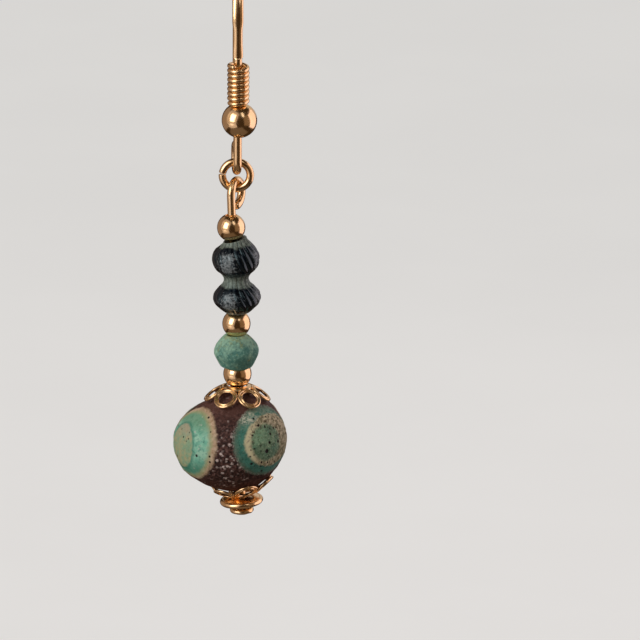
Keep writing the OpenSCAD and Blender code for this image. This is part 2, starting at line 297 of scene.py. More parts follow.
def eased(rows, s):
    """A table's values at the places s along its rows, on a Catmull-Rom curve through them."""
    s = np.asarray(s, float)
    i = np.clip(np.floor(s).astype(int), 0, len(rows) - 1)
    t = (s - i)[:, None]
    last = len(rows) - 1
    a, b, c, d = (rows[np.clip(i + k, 0, last)] for k in (-1, 0, 1, 2))
    return b + t * ((c - a) / 2 + t * ((2 * a - 5 * b + 4 * c - d) / 2
                                       + t * (3 * b - a - 3 * c + d) / 2))


def around(steps):
    """Angles once round."""
    return np.linspace(0, 2 * math.pi, steps, endpoint=False)


def rings(r, h, a):
    """The points (r cos a, r sin a, h), for arrays of any matching shapes."""
    return np.stack(np.broadcast_arrays(r * np.cos(a), r * np.sin(a), h), -1)


def turned(profile, steps):
    """The profile's points (radius, height) carried round Z."""
    return rings(profile[:, :1], profile[:, 1:], around(steps))


def arc_points(centre, radius, first, last, steps):
    """Points of an arc in a plane: the centre plus radius (cos a, sin a)."""
    a = np.radians(np.linspace(first, last, steps))
    return centre + radius * np.column_stack([np.cos(a), np.sin(a)])


def side_arc(radius, first, last, steps):
    """An arc in the plane x = 0: (0, radius cos a, radius sin a)."""
    return np.column_stack([np.zeros(steps), arc_points((0, 0), radius, first, last, steps)])


def upright(heights):
    """Points of the Z axis at these heights."""
    return np.column_stack([np.zeros((len(heights), 2)), heights])


def travelled(path):
    """How far along a path each of its points is."""
    return np.concatenate([[0], np.cumsum(np.linalg.norm(np.diff(path, axis=0), axis=1))])


def bored_ball(diameter, bore_r, rows, cols):
    """A ball with a hole along Z: the sphere's arc between the hole's two edges, and a bore."""
    edge = math.degrees(math.acos(2 * bore_r / diameter)) - 1
    outside = arc_points((0, 0), diameter / 2, edge, -edge, rows)
    heights = outside[0, 1] * np.array([-0.98, -0.5, 0, 0.5, 0.98])
    bore = np.column_stack([bore_r - 0.005 * np.array([0, 1, 1, 1, 0]), heights])
    return turned(np.vstack([outside, bore]), cols)


def swept(path, side, half_w, half_t, cols, edge, power=2, whole=True):
    """A section carried along a path.

    The section is a superellipse of half width w towards `side` and half thickness t across
    it, |x / w|^n + |y / t|^n = 1: n = 2 is a round wire, and a larger n a flattened one. At
    an end the section shrinks by edge (1 - sin u) while it moves edge (1 - cos u) inwards,
    u from 0 to 90 degrees, which rounds the end off. A path that isn't whole goes on past its
    last point, so that end stays as it is.
    """
    s = travelled(path)
    u = np.linspace(0, math.pi / 2, 6)
    inward, shrink = edge * (1 - np.cos(u)), 0.98 * edge * (1 - np.sin(u))
    kept = s[s > 1.05 * edge]
    kept = kept[kept < s[-1] - 1.05 * edge] if whole else kept
    places = np.concatenate([inward, kept, s[-1] - inward[::-1] if whole else []])
    less = np.concatenate([shrink, np.zeros(len(kept)), shrink[::-1] if whole else []])
    columns = (path, np.gradient(path, s, axis=0), np.broadcast_to(side, path.shape))
    centre, tangent, side = (np.stack([np.interp(places, s, v[:, k]) for k in range(3)], -1)
                             for v in columns)
    half_w, half_t, power = (np.interp(places, s, np.broadcast_to(v, len(path)))
                             for v in (half_w, half_t, power))
    tangent /= np.linalg.norm(tangent, axis=1)[:, None]
    side = side - (side * tangent).sum(1)[:, None] * tangent
    side /= np.linalg.norm(side, axis=1)[:, None]
    a, n = around(cols), (2 / power)[:, None]
    c, q = np.cos(a), np.sin(a)
    x = np.sign(c) * np.abs(c) ** n * (half_w - less)[:, None]
    y = np.sign(q) * np.abs(q) ** n * (half_t - less)[:, None]
    across = np.cross(tangent, side)
    return centre[:, None] + x[..., None] * side[:, None] + y[..., None] * across[:, None]


def ripple(points, size, seed, octaves=3):
    """Smooth waves in space: a sum of sines in random directions, about -1 to 1.

    Each octave has five sines of half the last one's length and half its height.
    """
    rng = np.random.default_rng(seed)
    out = np.zeros(points.shape[:-1])
    for k in range(octaves * 5):
        way = rng.normal(size=3)
        way *= 2 ** (k // 5) / np.linalg.norm(way)
        out += np.sin(points @ way * (2 * math.pi / size) + rng.uniform(0, 6.3)) / 2 ** (k // 5)
    return out / 3.2


def heading(azimuth, elevation):
    """The unit vector of a direction, azimuth from -Y towards +X."""
    a, e = math.radians(azimuth), math.radians(elevation)
    return np.array([math.sin(a) * math.cos(e), -math.cos(a) * math.cos(e), math.sin(e)])


# Materials

def tinted(colour, red=1.0, green=None, blue=None):
    """A colour with its channels times these factors, or all three times the one given."""
    factors = (red, red if green is None else green, red if blue is None else blue)
    return tuple(min(1.0, c * k) for c, k in zip(colour, factors))


class Shader:
    """A material's node tree, with short calls for the nodes that the finishes use."""

    def __init__(self, name):
        self.material = bpy.data.materials.new(name)
        self.material.use_nodes = True
        self.tree = self.material.node_tree
        self.skin = self.tree.nodes["Principled BSDF"]
        self.place = self.node("ShaderNodeTexCoord").outputs["Object"]

    def fill(self, sockets, values):
        """Links or sets sockets, by name or number."""
        for key, value in values.items():
            if isinstance(value, bpy.types.NodeSocket):
                self.tree.links.new(value, sockets[key])
            else:
                sockets[key].default_value = value

    def node(self, kind, inputs=None, **settings):
        """A node with its settings and inputs."""
        made = self.tree.nodes.new(kind)
        for key, value in settings.items():
            setattr(made, key, value)
        self.fill(made.inputs, inputs or {})
        return made

    def mark(self, name):
        """A value stored on the mesh's points."""
        return self.node("ShaderNodeAttribute", attribute_name=name).outputs["Fac"]

    def noise(self, size, detail=3.0, roughness=0.55, distortion=0.0):
        """Noise of about this grain size in millimetres."""
        return self.node("ShaderNodeTexNoise", {
            "Vector": self.place, "Scale": 1 / (size * MM), "Detail": detail,
            "Roughness": roughness, "Distortion": distortion}).outputs["Fac"]

    def grains(self, size):
        """The distance to the nearest of random points about this far apart, 0 at a point."""
        return self.node("ShaderNodeTexVoronoi", {
            "Vector": self.place, "Scale": 1 / (size * MM)}).outputs["Distance"]

    def between(self, value, low, high, start=0.0, end=1.0, kind="SMOOTHSTEP"):
        """From start, where the value is at low, to end at high, which may be below low."""
        return self.node("ShaderNodeMapRange", {
            "Value": value, "From Min": low, "From Max": high, "To Min": start, "To Max": end},
            interpolation_type=kind).outputs[0]

    def cloud(self, size, low, high, detail=3.0, roughness=0.55):
        """Soft patches of noise, from 0 at low to 1 at high."""
        return self.between(self.noise(size, detail, roughness), low, high)

    def sums(self, operation, *values):
        """One sum on up to three values."""
        return self.node("ShaderNodeMath", dict(enumerate(values)), operation=operation).outputs[0]

    def times(self, a, b):
        """The product of two values."""
        return self.sums("MULTIPLY", a, b)

    def scaled(self, value, factor, more):
        """A value times a factor, and more added."""
        return self.sums("MULTIPLY_ADD", value, factor, more)

    def mix(self, share, a, b):
        """Colour a, or b where the share is 1."""
        a, b = (v if isinstance(v, bpy.types.NodeSocket) else (*v, 1.0) for v in (a, b))
        return self.node("ShaderNodeMix", {0: share, 6: a, 7: b}, data_type="RGBA").outputs[2]

    def laid(self, base, *layers):
        """The base with layers laid over it in turn.

        Each layer gives its share, its strength, its colour and the factors of its channels.
        """
        for share, strength, colour, *factors in layers:
            if strength < 1:
                share = self.times(share, strength)
            base = self.mix(share, base, tinted(colour, *factors))
        return base

    def relief(self, height, depth, **below):
        """A bump of this depth in millimetres, over another one that `Normal` gives."""
        return self.node("ShaderNodeBump", {"Height": height, "Distance": depth * MM,
                                            "Strength": 1.0, **below}).outputs["Normal"]

    def finish(self, **sockets):
        """Sets or links the shader's own sockets and gives the material."""
        self.fill(self.skin.inputs, {key.replace("_", " "): v for key, v in sockets.items()})
        return self.material


def gold_finish(name, finish, rough=1.0, bumps=0.004, bump_size=0.5):
    """Polished plating: low waves, and tone and polish that are slightly uneven."""
    s = Shader(name)
    rough *= finish.gold_rough
    return s.finish(
        Base_Color=s.mix(s.cloud(0.9, 0.35, 0.65, 2), finish.gold,
                         tinted(finish.gold, 0.97, 0.93, 0.86)),
        Metallic=1.0, Normal=s.relief(s.noise(bump_size, 2), bumps),
        Roughness=s.between(s.noise(0.35, 4), 0.3, 0.7, rough * 0.85, rough * 1.2, "LINEAR"))


# What a user may change

def amount(name, about, default, top=1.0, least=0.0):
    """A plain number property."""
    return bpy.props.FloatProperty(name=name, description=about, default=default, min=least,
                                   soft_max=top, precision=3)


def length(name, about, default):
    """A size property."""
    return amount(name, about + ", in millimetres", default, 20.0, 0.01)


def colour(name, about, default):
    """A colour property."""
    return bpy.props.FloatVectorProperty(name=name, description=about, default=default, size=3,
                                         subtype="COLOR", min=0.0, max=1.0)


class WireSizes(bpy.types.PropertyGroup):
    """Sections of the hook, ring and pin, in millimetres."""
    wire: length("Hook wire", "Diameter of the hook's round wire", WIRE_D)
    crown_width: length("Crown width", "Width of the flattened crown", 0.94)
    crown_thick: length("Crown thickness", "Thickness of the flattened crown", CROWN_T)
    leg_width: length("Leg width", "Width of the flattened front leg", 0.82)
    swell_width: length("Swell width", "Width of the leg just above its step", 0.88)
    leg_thick: length("Leg thickness", "Thickness of the flattened front leg", 0.58)
    step_at: length("Step", "Depth at which the leg turns round again", 2.63)
    coil: length("Coil wire", "Diameter of the coil's wire", COIL_WIRE)
    ring: length("Ring wire", "Diameter of the jump ring's wire", RING_WIRE)
    pin: length("Pin wire", "Diameter of the head pin's wire", PIN_WIRE)


class BeadShapes(bpy.types.PropertyGroup):
    """Relief of the glass and ceramic beads."""
    ribs: bpy.props.IntProperty(
        name="Ribs", description="Ribs round the melon bead", default=18, min=3, max=40)
    rib_depth: length("Rib depth", "Depth of the grooves between the ribs", 0.13)
    rib_twist: bpy.props.FloatProperty(
        name="Rib twist", description="Turn of the ribs from top to foot",
        default=math.radians(62), subtype="ANGLE")
    lumps: length("Lumps", "Unevenness of the turquoise bead", 0.02)
    eye_relief: length("Eye relief", "Steps between the rings of the eyes", 0.035)


class CapShapes(bpy.types.PropertyGroup):
    """Shape of the petals of the two caps, in millimetres."""
    hole: length("Hole", "Radius of the hole in a petal", PETAL_HOLE_R)
    reach: length("Petal", "Radius of a petal", PETAL_R)
    rim: length("Rim", "Height of a petal's rims above its plate", 0.1)


class Finishes(bpy.types.PropertyGroup):
    """Colours and roughness of every finish."""
    gold: colour("Gold", "Plating", (0.98, 0.71, 0.385))
    gold_rough: amount("Gold roughness", "Roughness of the plating", 0.2)
    glass: colour("Dark glass", "Melon bead, polished", (0.0012, 0.0026, 0.006))
    patina: colour("Patina", "Melon bead, worn", (0.30, 0.39, 0.32))
    turquoise: colour("Turquoise", "Turquoise bead", (0.30, 0.56, 0.41))
    turquoise_dark: colour("Turquoise, dark", "Darker patches of that bead", (0.095, 0.28, 0.23))
    ochre: colour("Ochre", "Yellowish blotches of that bead", (0.36, 0.42, 0.17))
    matrix: colour("Matrix", "Ground of the eye bead", (0.048, 0.019, 0.014))
    matrix_pale: colour("Matrix, pale", "Paler patches of the ground", (0.15, 0.072, 0.055))
    speck: colour("Speck", "Whitish grains in the ground", (0.74, 0.66, 0.60))
    beige: colour("Beige", "Beige rings of the eyes", (0.60, 0.47, 0.30))
    mint: colour("Mint", "Bright ring of the pale eyes", (0.20, 0.52, 0.37))
    pale_core: colour("Pale core", "Middle of the pale eyes", (0.46, 0.49, 0.27))
    teal: colour("Teal", "Outer ring of the deep eyes", (0.042, 0.20, 0.155))
    deep_core: colour("Deep core", "Middle of the deep eyes", (0.27, 0.46, 0.27))


class StageSetup(bpy.types.PropertyGroup):
    """Floor and lights."""
    floor: colour("Floor", "Plain pale floor", (0.42, 0.415, 0.405))
    glow: amount("Floor glow", "Light that the floor gives off", 1.6)
    key: amount("Key light", "Strength of the large softbox at the left", 1.0, 5)
    side: amount("Side light", "Strength of the panels at the right and the top strip", 1.0, 5)
    fill: amount("Fill light", "Strength of the dim panels at the left, back and foot", 1.0, 5)


# Hook

def hook_path(sizes):
    """The hook's middle line from the kicked end up the tail, over the crown and down to the loop.

    Gives the points, the side vectors, the half widths, half thicknesses and the powers of the
    section. Each arc is a centre plus radius times (cos a, sin a) in the plane that it is in.
    """
    flare = turn(X, TAIL_FLARE)
    kick = side_arc(KICK_R, 180 + KICK_ANGLE, 180, 9) + (0, KICK_R, -TAIL_LEN)
    tail = np.vstack([kick, upright(np.linspace(-TAIL_LEN, 0, 25)[1:])])
    back = placed(tail, flare, flare @ (0, CROWN_MID, 0))
    crown = side_arc(CROWN_MID, TAIL_FLARE, 180 + FRONT_LEAN, 90)[1:]
    over = placed(np.vstack([back, crown]) - (0, 0, CROWN_R), HOOK_TURN)
    deep = np.unique(np.concatenate([np.linspace(0, FRONT_LEN, 60)[1:],
                                     sizes.step_at + np.linspace(-0.3, 0.3, 31)]))
    foot = side_arc(FOOT_R, 180, 180 + LOOP_SPAN, 90)[1:] + (0, FOOT_R, 0)
    foot = placed(foot, turn(Z, FOOT_TURN), (0, 0, -FRONT_LEN))
    path = np.vstack([over, on_leg(np.vstack([upright(-deep), foot]))])
    side = np.repeat([HOOK_TURN[:, 0]], len(path), 0)
    side[-len(foot):] = LEG_TURN @ turn(Z, FOOT_TURN)[:, 0]

    # The section along the wire: place from the crown's end, half width and thickness, power
    s = travelled(path)
    s -= s[len(over) - 1]
    top, step, r = s[len(back) - 1], sizes.step_at, sizes.wire / 2
    crown_w, crown_t = sizes.crown_width / 2, sizes.crown_thick / 2
    leg_w, swell_w, leg_t = sizes.leg_width / 2, sizes.swell_width / 2, sizes.leg_thick / 2
    at, *section = np.transpose([
        (top, r, r, 2), (top + 1.4, crown_w, crown_t, 2.2), (-0.5, crown_w, crown_t, 2.1),
        (0.1, leg_w, leg_t, 2), (1.4, leg_w, leg_t, 2), (2.1, swell_w, leg_t, 2),
        (step - 0.05, swell_w, leg_t, 2), (step + 0.04, r, r, 2)])
    return path, side, *(np.interp(s, at, values) for values in section)


class EARRING_OT_hook(bpy.types.Operator):
    """Ear wire, coil and ball"""
    bl_idname = "earring.hook"
    bl_label = "Hook"

    def execute(self, context):
        sizes, finish = context.scene.earring_wires, context.scene.earring_finishes
        path, side, width, thick, power = hook_path(sizes)
        wire = swept(path, side, width, thick, 28, sizes.wire / 2 - 2 * END_FLAT, power)
        piece("ear_wire", [wire], "hook", "ear_hook",
              gold_finish("hook_gold", finish), along=False)

        # The coil is a helix (r cos a, r sin a, pitch a / 360), standing on the ball
        reach = (BALL_D + COIL_WIRE) / 2 + SEAT_GAP
        foot = BALL_AT - math.sqrt(reach ** 2 - COIL_R ** 2)
        a = np.linspace(0, COIL_TURNS * 2 * math.pi, int(COIL_TURNS * 44)) + math.pi
        rise = COIL_PITCH * (a - math.pi) / (2 * math.pi) - foot
        helix = rings(COIL_R, rise, a) + (BALL_SHIFT / 3, 0, 0)
        half = sizes.coil / 2
        coil = swept(helix, rings(1, 0, a), half, half, 16, half - END_FLAT)
        piece("wire_coil", [on_leg(coil)], "hook", "hook_coil",
              gold_finish("coil_gold", finish, 1.1, 0.002), along=False)

        # A ball with a bore for the wire and a faint seam down its front and back
        ball = bored_ball(BALL_D, WIRE_D / 2 + BALL_SHIFT + SEAT_GAP / 2, 96, 240)
        seam = np.exp(-(np.cos(np.arctan2(ball[..., 1], ball[..., 0])) / SEAM_W) ** 2)
        ball[..., :2] *= (1 - SEAM_DEPTH * seam)[..., None]
        piece("hook_bead", [on_leg(ball + (BALL_SHIFT, 0, -BALL_AT))], "hook", "hook_ball",
              gold_finish("ball_gold", finish, 0.9, 0.004, 0.9))
        return {"FINISHED"}


# Ring and pin

class EARRING_OT_ring_and_pin(bpy.types.Operator):
    """Jump ring and head pin"""
    bl_idname = "earring.ring_and_pin"
    bl_label = "Ring and pin"

    def execute(self, context):
        sizes, finish = context.scene.earring_wires, context.scene.earring_finishes
        # The ring is an arc (r cos a, 0, r sin a), open at its cut
        half, first = sizes.ring / 2, RING_CUT_AT + RING_CUT / 2
        arc = arc_points((0, 0), RING_R, first, first + 360 - RING_CUT, 140)
        arc = np.insert(arc, 1, 0, axis=1) + RING_MID
        piece("open_ring", [swept(arc, (0, 1, 0), half, half, 24, RING_END)], "ring", "jump_ring",
              gold_finish("ring_gold", finish, bump_size=0.7), along=False)

        # The pin: a side loop, then the stem, then the rings of its head
        half, rim, loop_at = sizes.pin / 2, HEAD_T / 2, PIN_R - PIN_SEAT
        loop = side_arc(PIN_R, 180 - LOOP_SPAN, 180, 90) + (0, PIN_R, 0)
        shank = np.vstack([loop, upright(-np.linspace(0, STEM_LEN - loop_at, 60)[1:])])
        mid = shank[-1, 2] - rim
        shank = swept(shank, (1, 0, 0), half, half, 32, half - END_FLAT, whole=False)
        head = turned(np.vstack([
            arc_points((half + HEAD_FILLET, mid + rim + HEAD_FILLET), HEAD_FILLET, 180, 270, 4),
            [(0.6, mid + rim)],
            arc_points((HEAD_D / 2 - rim, mid), rim, 90, -90, 13),
            [(0.55, mid - rim), (0.3, mid - rim - 0.01), (0.08, mid - rim - 0.01)]]), 32)
        head *= (1, -1, 1)
        # The head is worn and lumpy on one side, outside the stem
        outside = np.linalg.norm(head[..., :2], axis=-1) > 0.5
        worn = HEAD_WEAR * np.clip(np.cos(around(32) - 0.9) + 0.45, 0, 1) * outside
        lumps = ripple(head, 0.75, 5, 2)
        head[..., :2] *= (1 - worn * (0.6 + 0.6 * lumps))[..., None]
        head[..., 2] += worn * np.clip(lumps, -0.1, 1)
        pin = placed(np.concatenate([shank, head]), turn(Z, -PIN_TURN))
        piece("pin_with_head", [on_stem(pin, loop_at)], "drop", "head_pin",
              gold_finish("pin_gold", finish), along=False)
        return {"FINISHED"}


# Metal beads

class EARRING_OT_gold_beads(bpy.types.Operator):
    """Three small metal beads and the saucer at the foot"""
    bl_idname = "earring.gold_beads"
    bl_label = "Metal beads"

    def execute(self, context):
        finish = context.scene.earring_finishes
        gold = gold_finish("bead_gold", finish, 0.9, 0.004, 0.8)
        ball = bored_ball(GOLD_D, BORE_R, 64, 96)
        for name, depth, shift in zip(("top", "middle", "lower"), GOLD_AT, GOLD_SHIFTS):
            piece(f"round_bead_{name}", [on_stem(ball, depth, shift)], "drop",
                  f"gold_bead_{name}", gold)

        # The saucer: a lens that thickens again into a rounded rim
        half, rim = SAUCER_T / 2, SAUCER_RIM
        flat_r = SAUCER_D / 2 - rim
        upper = np.array([(BORE_R + 0.02, half - 0.03), (BORE_R + 0.12, half), (0.8, 0.375),
                          (1.15, 0.31), (flat_r - 0.12, rim + 0.005), (flat_r, rim)])
        upper = eased(upper, np.linspace(0, len(upper) - 1, 26))
        edge = arc_points((flat_r, 0), rim, 90, 0, 9)[1:]
        upper = np.vstack([upper, edge])
        bore = half * np.array([(0, -0.8), (0, 0), (0, 0.8)]) + (BORE_R, 0)
        lens = turned(np.vstack([upper, upper[-2::-1] * (1, -1), bore]), 128)
        lens = placed(lens, turn(Y, SAUCER_TILT))
        piece("saucer", [on_stem(lens, EYE_AT + SAUCER_AT)], "drop", "saucer_spacer",
              gold_finish("saucer_gold", finish, bump_size=0.7))
        return {"FINISHED"}


# Melon bead

def melon_finish(finish):
    """Near-black glass, worn to a dull grey green at its collar, waist and foot, with painted
    shade in the patina's grooves and pale specks of painted sheen where the lobes have scuff
    marks.
    """
    s = Shader("melon_glass")
    glass, patina, scuff_and_sheen = finish.glass, finish.patina, s.mark("scuff_and_sheen")
    worn = s.sums("ADD", s.mark("patina"), s.scaled(s.noise(0.8, 5, 0.65), 1.2, -0.6))
    worn = s.between(worn, 0.3, 0.85)
    # Painted shade: the patina is darker in the grooves between the ribs
    dull = s.laid(
        tinted(patina, 0.45), (s.cloud(0.22, 0.35, 0.65, 5, 0.65), 1, patina),
        (s.between(s.mark("groove"), 0.25, 0.9), 0.75, patina, 0.18))
    tone = s.laid(glass, (s.cloud(0.5, 0.35, 0.7), 1, glass, 2.0))
    tone = s.mix(s.times(worn, 0.9), tone, dull)
    speckle = s.noise(0.19, 4, 0.75)
    # Painted highlight: pale specks of sheen where the lobes with scuff marks face the lights
    sheen_specks = s.between(s.scaled(scuff_and_sheen, 0.27, speckle), 0.60, 0.86)
    tone = s.laid(tone, (sheen_specks, 1, patina, 1.08, 1.0, 1.25))
    rough = s.between(s.sums("MAXIMUM", worn, s.times(scuff_and_sheen, 0.5)), 0, 1, 0.13, 0.55, "LINEAR")
    low = s.relief(s.noise(0.4, 3), 0.012)
    return s.finish(Base_Color=tone, Roughness=rough, Specular_Tint=(0.6, 0.95, 1.0, 1.0),
                    Normal=s.relief(s.times(speckle, scuff_and_sheen), 0.05, Normal=low))


class EARRING_OT_melon_bead(bpy.types.Operator):
    """Ribbed dark bead of two lobes"""
    bl_idname = "earring.melon_bead"
    bl_label = "Melon bead"

    def execute(self, context):
        shape, finish = context.scene.earring_beads, context.scene.earring_finishes
        # Rows run down the outside and back up the bore. Over the lobes the ribs slant, and
        # at the waist they run straight: their turn grows with the radius above the waist's.
        rows, cols = 168, 288
        z, r, share = eased(MELON_ROWS, np.linspace(0, len(MELON_ROWS) - 1, rows)).T[..., None]
        slant = np.clip((r - 1.05) / 0.9, 0, 1) + 0.12
        twist = np.cumsum(slant, 0) / slant.sum() * shape.rib_twist
        a = around(cols)
        groove = 1 - np.abs(np.sin((a - twist) * shape.ribs / 2)) ** 0.8

        def near(azimuth, width):
            """1 at an azimuth, and exp(-(angle / width)^2) at an angle from it."""
            off = np.degrees(np.angle(np.exp(1j * (a - math.radians(azimuth)))))
            return np.exp(-(off / width) ** 2)

        # The ribs are rubbed lower on the front left, and the lobes have scuff marks in places,
        # with a pale painted sheen there as a painted highlight
        depth = shape.rib_depth * share * (1 - RUBBED_OFF * near(RUBBED_AT, RUBBED_W))
        scuff_and_sheen = sum(weight * near(azimuth, width) for azimuth, width, weight in SCUFF_SHEEN_SPOTS)
        scuff_and_sheen = scuff_and_sheen * np.clip((r - 1.45) / 0.4, 0, 1)
        w = r - depth * groove
        outside = rings(w, -z, a)
        outside[..., 2] += MELON_SLOPE * np.clip(1 - z, 0, None) * w * np.cos(a)
        outside[..., :2] *= 1 + 0.012 * ripple(outside, 2.2, 11)[..., None]
        patina = np.clip((1.62 - r) / 0.5, 0, 1) + 0.25 * ripple(outside, 1.5, 3)
        foot, bore = -MELON_ROWS[-1, 0], BORE_R + MELON_SHIFT
        inner = np.array([(MELON_FACE_R, foot), (bore + 0.05, foot + 0.06), (bore, foot + 0.3),
                          (bore, foot / 2), (bore, -0.3), (bore + 0.05, -0.06),
                          (MELON_FACE_R, -0.01)])
        inside = turned(inner, cols) - (MELON_SHIFT, 0, 0)
        inside[-2:, :, 2] += MELON_SLOPE * inside[-2:, :, 0]
        more = ((0, len(inner)), (0, 0))
        marks = {"groove": np.pad(groove, more, constant_values=1),
                 "patina": np.pad(patina, more, constant_values=1),
                 "scuff_and_sheen": np.pad(scuff_and_sheen, more)}
        grid = on_stem(np.concatenate([outside, inside]), MELON_TOP, MELON_SHIFT)
        piece("melon_glass_bead", [grid], "drop", "melon_bead",
              melon_finish(finish), marks=marks)
        return {"FINISHED"}


# Turquoise bead

def turquoise_finish(finish):
    """Matt and chalky, with darker clouds that gather on the right and towards the foot as painted
    shade, yellowish blotches and fine pits.
    """
    s = Shader("turquoise_ceramic")
    stone, dark, chalk = finish.turquoise, finish.turquoise_dark, s.noise(0.2, 4, 0.7)
    # Painted shade: the darker clouds grow on the side away from the key light
    shady = s.scaled(s.mark("shade"), 0.16, s.noise(1.0, 5, 0.62, 0.4))
    high = s.scaled(s.mark("top"), 0.16, s.noise(0.5, 5, 0.7))
    pits = s.between(s.grains(0.24), 0.05, 0.18)
    tone = s.laid(
        stone,
        (s.between(shady, 0.38, 0.64), 1, dark),
        (s.between(high, 0.60, 0.70), 0.55, finish.ochre),
        (s.between(chalk, 0.50, 0.66), 0.45, stone, 1.55),
        (s.between(chalk, 0.46, 0.34), 0.55, dark, 0.55),
        (s.scaled(pits, -0.5, 0.5), 1, dark, 0.35))
    rough = s.relief(chalk, 0.045, Normal=s.relief(pits, 0.02))
    return s.finish(Base_Color=tone, Roughness=0.82, Normal=rough, Specular_IOR_Level=0.3)


class EARRING_OT_turquoise_bead(bpy.types.Operator):
    """Matt turquoise bicone"""
    bl_idname = "earring.turquoise_bead"
    bl_label = "Turquoise bead"

    def execute(self, context):
        shape, finish = context.scene.earring_beads, context.scene.earring_finishes
        # Outside from the table, dimples to fit the metal beads, and the bore between them
        rows, cols = 90, 200
        z, r = eased(TURQUOISE_ROWS, np.linspace(0, len(TURQUOISE_ROWS) - 1, rows)).T
        seat, deep = GOLD_D / 2 + SEAT_GAP, TURQUOISE_ROWS[-1, 0]
        lower, upper = np.linspace(0.95, BORE_R, 8), np.linspace(BORE_R, 0.8, 6)
        hollow = np.sqrt(seat ** 2 - lower ** 2) + TURQUOISE_TOP - GOLD_AT[2]
        dimple = -np.sqrt(seat ** 2 - upper ** 2) + TURQUOISE_TOP - GOLD_AT[1]
        profile = np.vstack([np.column_stack([r, -z]),
                             np.column_stack([lower, np.maximum(hollow, -deep)]),
                             [(BORE_R, -deep / 2)],
                             np.column_stack([upper, dimple])])
        grid = turned(profile, cols)
        # The foot is worn off along a slanting plane, and the outside is a little lumpy
        plane = FOOT_WORN - deep - math.tan(math.radians(TURQUOISE_SLOPE)) * grid[..., 0]
        grid[:rows, :, 2] = np.maximum(grid[:rows, :, 2], plane[:rows])
        lumps = ripple(grid[:rows], 1.6, 21) * shape.lumps / TURQUOISE_R
        fade = np.clip(np.minimum(z, deep - z) / 0.3, 0, 1)
        grid[:rows, :, :2] *= 1 + (lumps * fade[:, None])[..., None]
        # Painted shade: it is darker on the right and towards the foot, away from the key light
        marks = {"top": np.repeat(np.clip(1 + profile[:, 1:] / 1.3, 0, 1), cols, 1),
                 "shade": (grid / TURQUOISE_R + (0, 0, 0.8)) @ heading(26, -38)}
        piece("turquoise_stone", [on_stem(grid, TURQUOISE_TOP)], "drop", "turquoise_bead",
              turquoise_finish(finish), marks=marks)
        return {"FINISHED"}


# Eye bead

# The rings of an eye, outside in: azimuth and elevation of its middle from the bead's middle,
# azimuth from the front towards +X, and its half width and half height, all in degrees
PALE_EYE = ((-56, 6.5, 41, 43.5), (-57, 5, 33.5, 36), (-63.5, 0.5, 20.5, 23.5))
DEEP_EYE = ((45.5, 10, 42, 38.5), (51, 10, 36, 27.5), (41.5, 9, 19.5, 19.2))
# Each eye comes again at the back, turned by this many degrees
AGAIN = 180
# Pits: azimuth, elevation, radius and depth in millimetres
PITS = ((40.5, 0, 0.24, 0.10), (44.9, 8.2, 0.17, 0.08), (48.2, 16.7, 0.15, 0.07),
        (24.8, 18.5, 0.12, 0.06), (42.3, 25, 0.14, 0.06), (33.7, 27.8, 0.15, 0.06),
        (58.4, 6.8, 0.18, 0.07), (42.8, -13, 0.13, 0.06), (34.4, -15.9, 0.12, 0.06),
        (22.8, -11.5, 0.15, 0.07), (21.1, 3.7, 0.09, 0.05), (55.3, 21.5, 0.12, 0.06),
        (-59.6, 9.9, 0.12, 0.06), (-52.2, 16.4, 0.09, 0.05), (-50.3, 10.1, 0.10, 0.05),
        (-37.2, -5.3, 0.16, 0.07), (-33.4, 38.2, 0.16, 0.07), (-23.6, 22, 0.09, 0.05),
        (-21.5, -3.4, 0.13, 0.06), (-21.5, -9.7, 0.12, 0.06), (-52.8, 7, 0.08, 0.04),
        (49.5, 22, 0.10, 0.05), (30, 35.7, 0.12, 0.05), (48.4, 34.7, 0.11, 0.05),
        (35.8, 32.3, 0.08, 0.04), (34.3, -11, 0.14, 0.06), (43.5, -6.2, 0.09, 0.04),
        (24.6, -1.6, 0.09, 0.04), (20.4, -2.8, 0.10, 0.05), (37.6, -22.5, 0.14, 0.05),
        (40.7, -29.7, 0.14, 0.05), (71, 3.8, 0.11, 0.04), (59.5, 20.9, 0.10, 0.05),
        (63.2, 13.2, 0.11, 0.04), (55.3, -14.9, 0.12, 0.05))
# Ranges of the strewn pits' azimuth, elevation, radius and depth, and how many there are
STREWN = ((80, 290), (-30, 38), (0.07, 0.17), (0.03, 0.06))
STREWN_COUNT = 46
# How high the glass of each ring stands, in shares of the eye relief
STEPS = (("pale_outer", 1.0), ("pale_middle", -0.7), ("pale_core", 0.7),
         ("deep_outer", 0.7), ("deep_middle", 0.6), ("deep_core", -0.8))
BLACK = (0.012, 0.012, 0.010)
# Marks that are nothing inside the bore, where the others are past every ring
PATCHES = ("pit", "grain", "crust")


def ring_place(ways, azimuth, elevation, half_w, half_h):
    """How far out each direction is in an oval ring: 1 on its edge.

    The angle from the ring's middle is split into a part across and a part up, and each is
    divided by the oval's half width or half height.
    """
    middle = heading(azimuth, elevation)
    across = np.cross((0, 0, 1), middle)
    across /= np.linalg.norm(across)
    up = np.cross(middle, across)
    near = np.clip(ways @ middle, -1, 1)
    angle = np.degrees(np.arccos(near))
    flat = np.maximum(np.sqrt(1 - near ** 2), 1e-6)
    return np.hypot(angle * (ways @ across) / flat / half_w, angle * (ways @ up) / flat / half_h)


